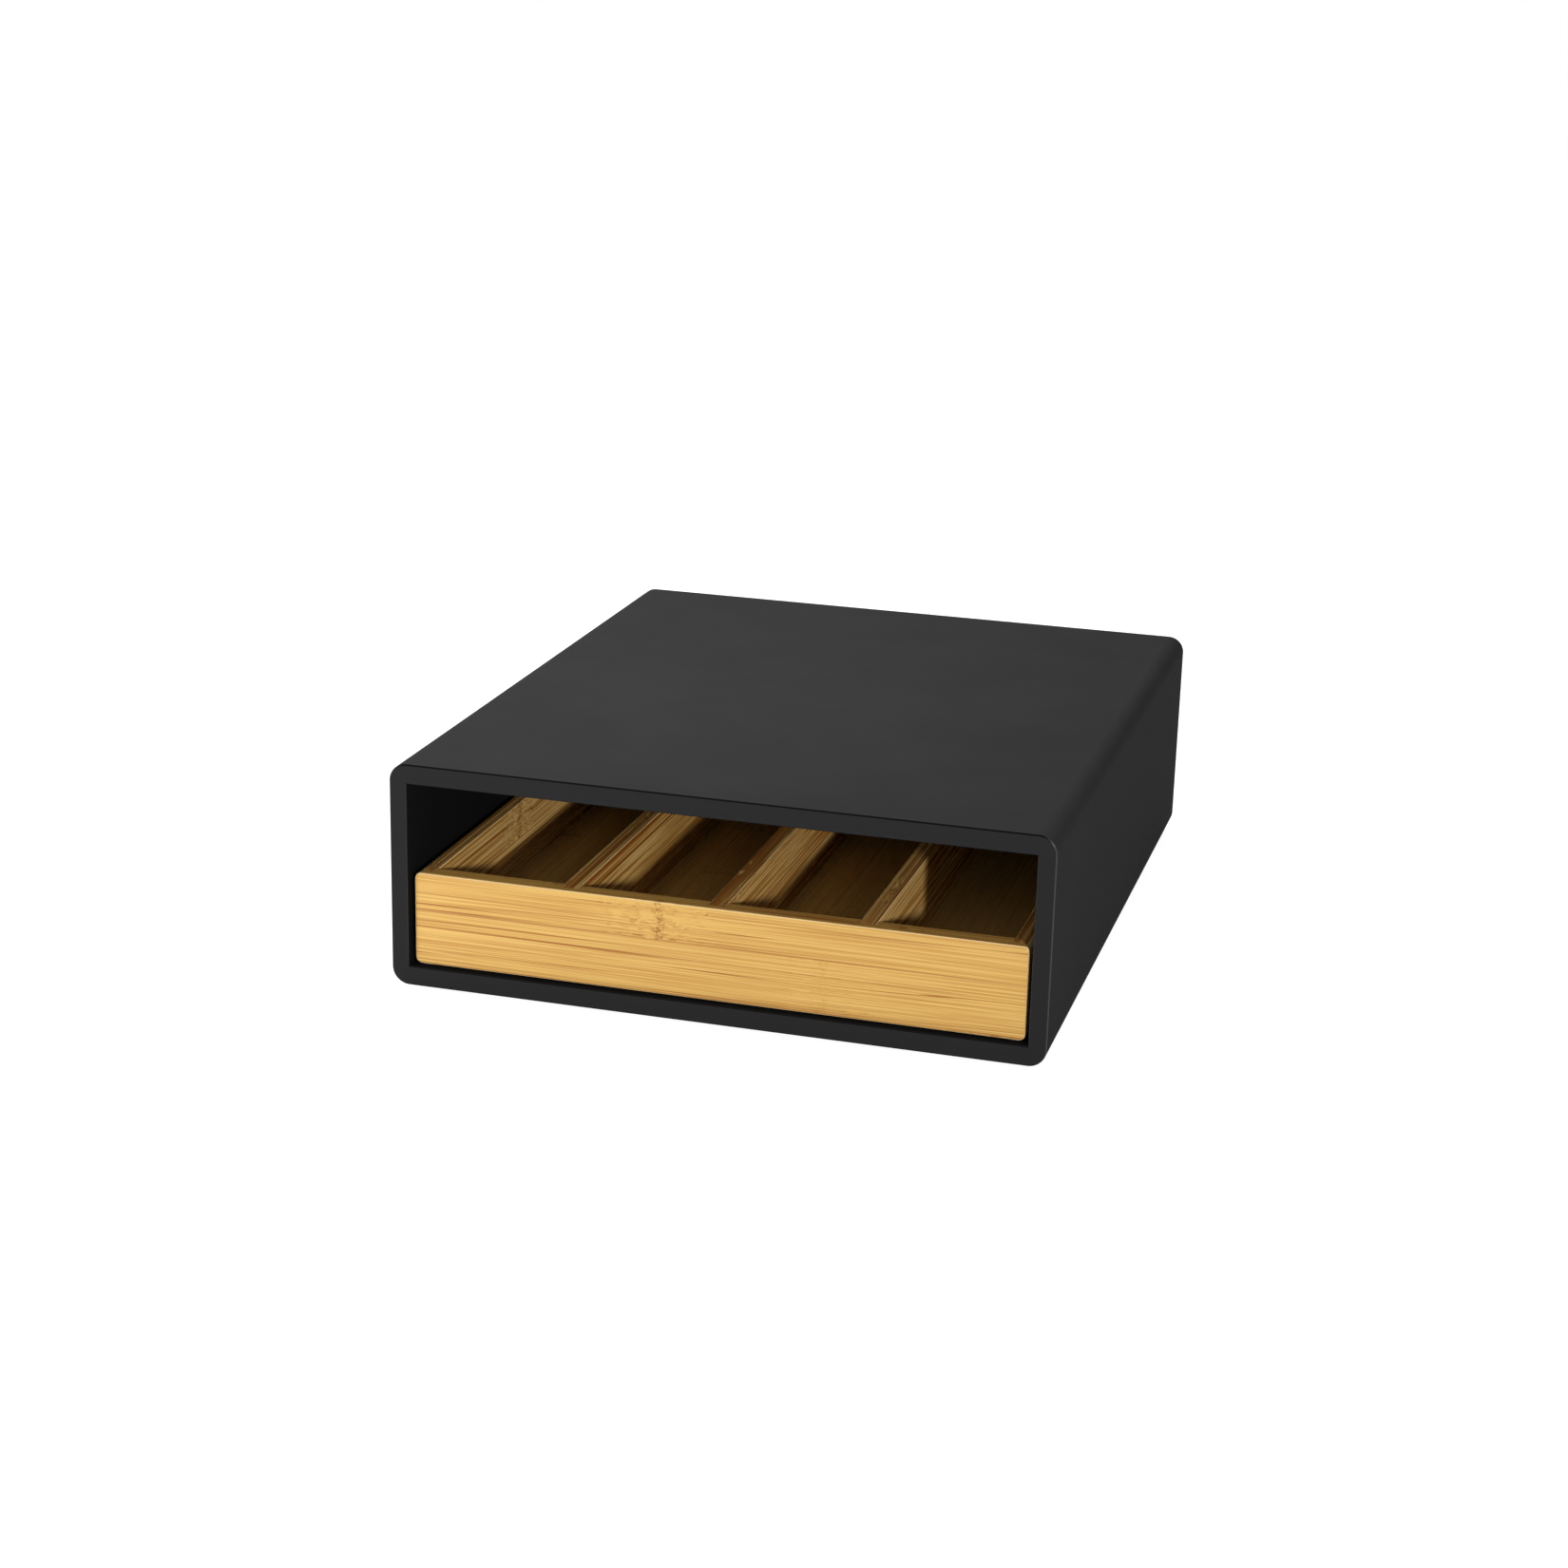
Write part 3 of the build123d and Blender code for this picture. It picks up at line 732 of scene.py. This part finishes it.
def bamboo_board(name, axes, middle, board, face, knuckle, strength, painted_lift):
    """Satin-lacquered bamboo for one board. axes: along its grain, across its face and through it.
    middle: its middle plane and the height of its joint. knuckle: where one lies along the grain,
    in the outer layer on the side that face says. strength: how dark its lines are. painted_lift:
    how much paler its strips are drawn than the front's, painted light that brightens the boards
    inside the drawer."""
    made, tree, shader = finish(f"clear-lacquered bamboo, {name}", IOR=1.5, Specular_IOR_Level=0.35)
    seen = add(tree, "ShaderNodeTexCoord")
    place = add(
        tree,
        "ShaderNodeMapping",
        {"Vector": seen.outputs["Object"], "Location": -1000 * middle, "Scale": (1000, 1000, 1000)},
    )
    split = add(tree, "ShaderNodeSeparateXYZ", {0: place})
    turned = add(tree, "ShaderNodeCombineXYZ", {i: split.outputs[axis] for i, axis in enumerate(axes)})
    facing = add(tree, "ShaderNodeSeparateXYZ", {0: seen.outputs["Normal"]})
    narrow = add(tree, "ShaderNodeMath", {0: facing.outputs[axes[1]]}, operation="ABSOLUTE")
    lines = add(
        tree,
        "ShaderNodeMath",
        {0: narrow, 1: strength * EDGE_STRENGTH, 2: strength},
        operation="MULTIPLY_ADD",
    )
    wood = add(
        tree,
        "ShaderNodeGroup",
        {
            "Place": turned,
            "Board": board,
            "Face": face,
            "Knuckle": knuckle,
            "Strength": lines,
            "Painted lift": painted_lift,
        },
        node_tree=strips,
    )
    tone = wood.outputs["Color"]
    for axis, most, shade in ((axes[0], END_SHARE, END_GRAIN), (axes[1], EDGE_SHARE, EDGE_BROWN)):
        cut = add(tree, "ShaderNodeMath", {0: facing.outputs[axis]}, operation="ABSOLUTE")
        cut = add(
            tree,
            "ShaderNodeMapRange",
            {"Value": cut, **span("From", FACING_RANGE), "To Max": most},
        )
        tone = add(
            tree, "ShaderNodeMix", {"Factor": cut, "A": tone, "B": colour(shade)}, data_type="RGBA"
        )
        tone = tone.outputs["Result"]
    level = add(tree, "ShaderNodeVectorMath", {0: seen.outputs["Normal"]}, operation="ABSOLUTE")
    level = add(tree, "ShaderNodeSeparateXYZ", {0: level})
    steepest = add(
        tree, "ShaderNodeMath", {0: level.outputs["X"], 1: level.outputs["Y"]}, operation="MAXIMUM"
    )
    steepest = add(tree, "ShaderNodeMath", {0: steepest, 1: level.outputs["Z"]}, operation="MAXIMUM")
    # the arrises are drawn paler: partly paler sanded wood, partly a painted highlight
    arris = add(
        tree,
        "ShaderNodeMapRange",
        {"Value": steepest, **span("From", ARRIS_SLOPE), **span("To", (ARRIS_HIGHLIGHT_SHARE, 0.0))},
    )
    tone = add(
        tree, "ShaderNodeMix", {"Factor": arris, "A": tone, "B": colour(ARRIS_PALE_AND_HIGHLIGHT)}, data_type="RGBA"
    )
    tree.links.new(tone.outputs["Result"], shader.inputs["Base Color"])
    rough = add(
        tree, "ShaderNodeMapRange", {"Value": wood.outputs["Relief"], **span("To", BAMBOO_ROUGHNESS)}
    )
    tree.links.new(rough.outputs[0], shader.inputs["Roughness"])
    bump = add(
        tree,
        "ShaderNodeBump",
        {"Strength": 0.35, "Distance": FIBRE_RELIEF_MM / 1000, "Height": wood.outputs["Relief"]},
        invert=True,
    )
    tree.links.new(bump.outputs[0], shader.inputs["Normal"])
    return made


# columns: grain axes, face, knuckle, line strength, and painted lift, the painted light that makes each
# board paler than the front
BOARDS = {
    "drawer_front": ("XZY", -1, -25.0, 0.84, 0.0),
    "drawer_back": ("XZY", 1, 60.0, 1.0, 0.3),
    "drawer_left_side": ("YZX", 1, -61.5, 1.5, 0.85),
    "divider_1": ("YZX", 1, 40.0, 2.0, 0.6),
    "divider_2": ("YZX", 1, 105.0, 2.2, 0.85),
    "divider_3": ("YZX", 1, -10.0, 1.7, 0.95),
    "drawer_right_side": ("YZX", -1, 75.0, 1.5, 0.85),
    "drawer_bottom": ("YXZ", 1, 90.0, 0.5, 0.4),
}
for number, (name, (axes, face, knuckle, strength, painted_lift)) in enumerate(BOARDS.items()):
    low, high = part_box(name)
    middle = (low + high) / 2
    middle["XYZ".index(axes[0])] = 0.0
    if axes[1] == "Z":
        middle.z = high.z - JOINT_MM / 1000
    board = bamboo_board(name.replace("_", " "), axes, middle, number, face, knuckle, strength, painted_lift)
    dress((name,), board)

# Each corner of the drawer is pinned: two bamboo skewers, glued into holes that are bored in from
# the sides and cut off flush. Outside they show as round dots of end grain, the fibres as points.
PINS = {
    "front": ("corner_pins_front_left", "corner_pins_front_right"),
    "back": ("corner_pins_back_left", "corner_pins_back_right"),
}
for number, (end, names) in enumerate(PINS.items(), start=len(BOARDS)):
    low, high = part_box(names[0])
    middle = (low + high) / 2
    middle.x = 0.0
    dress(names, bamboo_board(f"{end} corner pins", "XZY", middle, number, 1, 0.0, 1.2, 0.0))

# Two strips of pressed wool felt, glued under the sides, carry the drawer. They slide quietly on
# the lacquered floor of the box, and keep the drawer's front about a millimetre above it.
FELT_GREY = "#4a4845"
FELT_PALE = "#6f6c67"
WOOL_MM = 0.35  # real fibres are a tenth as wide, and drawn this coarse to show
WOOL_CLUMP_MM = 3.0
WOOL_STRETCH = (1.0, 0.08, 0.5)
WOOL_SLOPES = (0.7, -0.5, 2.1)  # the ways its fibres lie
NAP_MM = 0.15
NAP_RANGE = (0.45, 0.75)

# Soft mottled grey with no gloss: a nap of fine crossed fibres that catches light at its edge.
felt, tree, shader = finish(
    "pressed wool felt", Roughness=1.0, Specular_IOR_Level=0.1, Sheen_Weight=0.35, Sheen_Roughness=0.5
)
place = add(tree, "ShaderNodeTexCoord").outputs["Object"]
crossed = []
for slope in WOOL_SLOPES:
    laid = add(
        tree,
        "ShaderNodeMapping",
        {"Vector": place, "Rotation": (0.0, 0.0, slope), "Scale": WOOL_STRETCH},
    )
    crossed.append(
        add(
            tree,
            "ShaderNodeTexNoise",
            {"Vector": laid, "Scale": 1000 / WOOL_MM, "Detail": 1.0, "Distortion": 0.3},
        )
    )
nap = add(tree, "ShaderNodeMath", {0: crossed[0], 1: crossed[1]}, operation="MAXIMUM")
nap = add(tree, "ShaderNodeMath", {0: nap, 1: crossed[2]}, operation="MAXIMUM")
nap = add(tree, "ShaderNodeMapRange", {"Value": nap, **span("From", NAP_RANGE)})
clump = add(tree, "ShaderNodeTexNoise", {"Vector": place, "Scale": 1000 / WOOL_CLUMP_MM, "Detail": 2.0})
lean = add(tree, "ShaderNodeMath", {0: nap, 1: clump}, operation="MULTIPLY")
tone = add(
    tree,
    "ShaderNodeMix",
    {"Factor": lean, "A": colour(FELT_GREY), "B": colour(FELT_PALE)},
    data_type="RGBA",
)
tree.links.new(tone.outputs["Result"], shader.inputs["Base Color"])
bump = add(tree, "ShaderNodeBump", {"Strength": 0.5, "Distance": NAP_MM / 1000, "Height": nap})
tree.links.new(bump.outputs[0], shader.inputs["Normal"])
dress(("glide_left", "glide_right"), felt)

# The ground: a sheet of white paper, swept up out of sight behind the object. The camera and the
# gloss on the object see it as white, with a soft shadow on it; for all else it is plain matt paper.
SHEET_REACH = 6.0
PAPER_BOUNCE = "#dadada"
PAPER_SHADED = "#959595"
PAPER_GLOW = 0.895  # with the light on it, this brings the unshaded paper up to white


def looked_at(tree):
    """1 where the camera looks, straight or by a reflection or through glass, else 0."""
    ray = add(tree, "ShaderNodeLightPath")
    camera_ray, glossy_ray, clear_ray = (
        ray.outputs[f"Is {kind} Ray"] for kind in ("Camera", "Glossy", "Transmission")
    )
    either = add(tree, "ShaderNodeMath", {0: camera_ray, 1: glossy_ray}, operation="MAXIMUM")
    return add(tree, "ShaderNodeMath", {0: either, 1: clear_ray}, operation="MAXIMUM")


sheet = bpy.data.meshes.new("floor")
corners = ((-1, -1), (1, -1), (1, 1), (-1, 1))
sheet.from_pydata([(x * SHEET_REACH, y * SHEET_REACH, 0.0) for x, y in corners], [], [(0, 1, 2, 3)])
floor = bpy.data.objects.new("floor", sheet)
bpy.context.scene.collection.objects.link(floor)

paper = bpy.data.materials.new("white paper sweep")
paper.use_nodes = True
tree = paper.node_tree
tree.nodes.clear()
plain = add(tree, "ShaderNodeBsdfDiffuse", {"Color": colour(PAPER_BOUNCE)})
shaded = add(tree, "ShaderNodeBsdfDiffuse", {"Color": colour(PAPER_SHADED)})
glow = add(tree, "ShaderNodeEmission", {"Strength": PAPER_GLOW})
white = add(tree, "ShaderNodeAddShader", {0: shaded, 1: glow})
seen = add(tree, "ShaderNodeMixShader", {0: looked_at(tree), 1: plain, 2: white})
add(tree, "ShaderNodeOutputMaterial", {"Surface": seen})
sheet.materials.append(paper)

# The studio: pale walls all round give a weak even light. To the camera, and in the gloss on the
# object, they are the same white as the paper.
WALL_LIGHT = 0.35
WALL_WHITE = 1.0

world = bpy.data.worlds.new("studio")
bpy.context.scene.world = world
world.use_nodes = True
tree = world.node_tree
tree.nodes.clear()
walls = add(tree, "ShaderNodeBackground", {"Color": (1.0, 1.0, 1.0, 1.0), "Strength": WALL_LIGHT})
white = add(tree, "ShaderNodeBackground", {"Color": (1.0, 1.0, 1.0, 1.0), "Strength": WALL_WHITE})
seen = add(tree, "ShaderNodeMixShader", {0: looked_at(tree), 1: walls, 2: white})
add(tree, "ShaderNodeOutputWorld", {"Surface": seen})

# The lamps. A small one low at the front right shines into the drawer and throws the shadows in its
# compartments. Large ones above and behind give the black top its even grey, and weak ones on the
# other sides and beside the camera lift the shade there.
LAMPS = {
    "key lamp": ((1.22, -1.7, 0.51), (0.0, -0.17, 0.04), 0.13, 28),
    "rear lamp": ((-1.3, 1.55, 1.0), (0.0, 0.0, 0.1), 1.2, 5),
    "upper left lamp": ((-0.6, 0.72, 1.05), (0.0, 0.0, 0.1), 0.7, 21),
    "top lamp": ((-0.1, -0.07, 0.42), (-0.1, -0.06, 0.1), 0.25, 0.8),
    "front left lamp": ((-0.55, -0.62, 0.15), (-0.1, -0.17, 0.06), 0.25, 2.5),
    "front lamp": ((0.3, -1.3, 0.6), (0.0, 0.0, 0.03), 0.5, 1.6),
}
for name, (stand, target, width, power) in LAMPS.items():
    light = bpy.data.lights.new(name, "AREA")
    light.shape = "DISK"
    light.size = width
    light.energy = power
    lamp = bpy.data.objects.new(name, light)
    lamp.location = stand
    lamp.visible_camera = False
    lamp.rotation_euler = (Vector(target) - Vector(stand)).to_track_quat("-Z", "Y").to_euler()
    bpy.context.scene.collection.objects.link(lamp)

# The camera stands in front of the right half of the box and looks down on it a little, turned to
# the left and rolled by a degree or so, as in the photograph.
CAMERA_PLACE = (0.3476, -1.3077, 0.4874)
CAMERA_TURN = 15.6
CAMERA_DOWN = 17.52
CAMERA_ROLL = 1.44
CAMERA_LENS = 66.74
CAMERA_SENSOR = 36

view = bpy.data.cameras.new("camera")
view.sensor_width = CAMERA_SENSOR
view.lens = CAMERA_LENS
camera = bpy.data.objects.new("camera", view)
camera.matrix_world = (
    Matrix.Translation(CAMERA_PLACE)
    @ Matrix.Rotation(radians(CAMERA_TURN), 4, "Z")
    @ Matrix.Rotation(radians(90 - CAMERA_DOWN), 4, "X")
    @ Matrix.Rotation(radians(CAMERA_ROLL), 4, "Z")
)
bpy.context.scene.collection.objects.link(camera)
bpy.context.scene.camera = camera
bpy.context.scene.view_settings.view_transform = "Standard"
